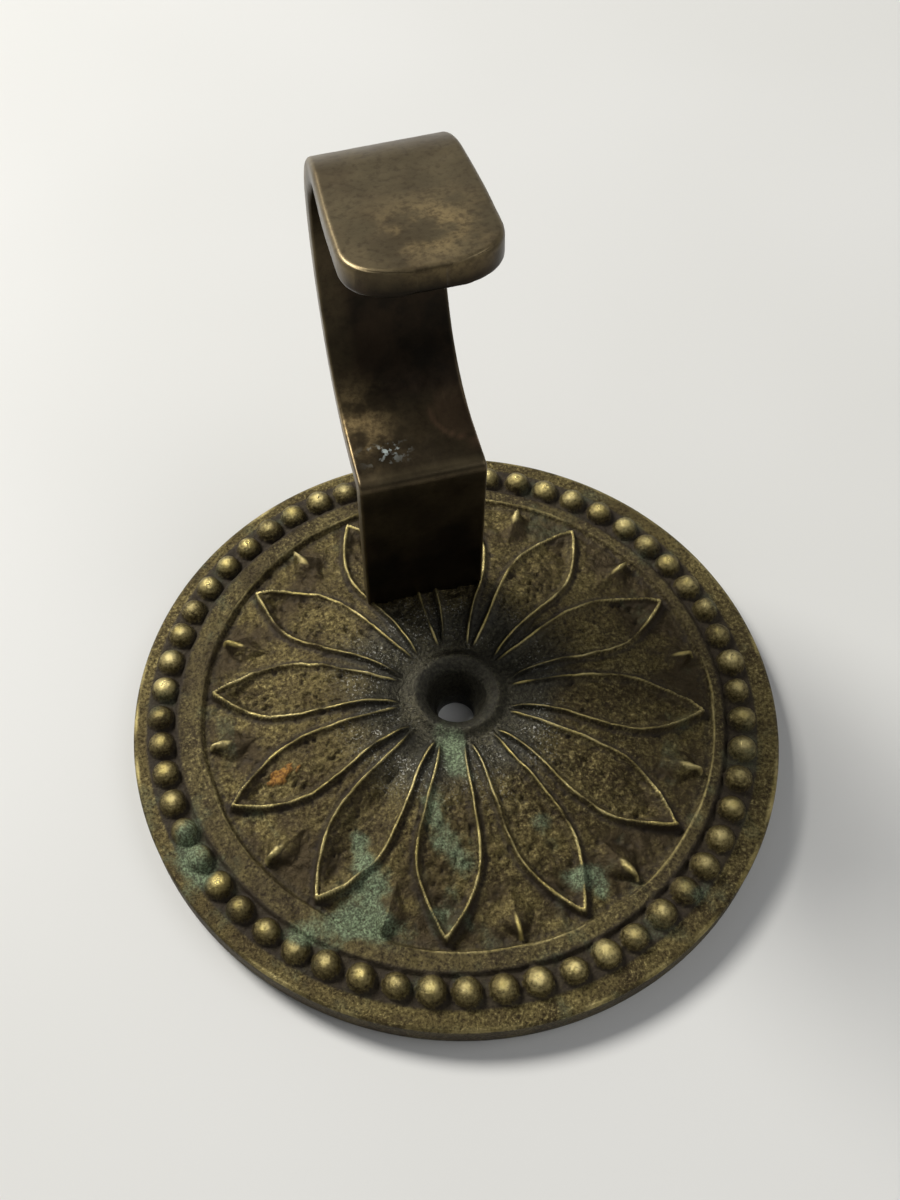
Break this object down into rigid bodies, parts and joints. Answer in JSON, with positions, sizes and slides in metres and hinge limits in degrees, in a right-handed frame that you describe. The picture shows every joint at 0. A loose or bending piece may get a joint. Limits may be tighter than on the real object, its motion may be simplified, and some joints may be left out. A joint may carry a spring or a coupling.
{
  "type": "wall hook",
  "caption": "Decorative cast brass wall hook: a round rosette plate with a beaded edge and a screw hole, carrying a flat bar bent into a hook.",
  "frame": {"origin": "centre of the round plate's back plane, which is the plane of the wall or door", "axes": "+Z out of the wall, square to the plate; the hook's curl lies towards +Y and its width runs along X"},
  "size_m": [0.09, 0.09, 0.0753],
  "materials": {
    "rosette_plate": "dark olive-brown patina, worn bright on the raised edges",
    "hook_strap": "dark brown patina, rubbed golden on the tongue",
    "tenon_washer": "dull unpolished brass"
  },
  "bodies": {
    "root": {"rosette_plate": "rosette_plate", "hook_strap": "hook_strap", "tenon_washer": "tenon_washer"}
  },
  "joints": []
}
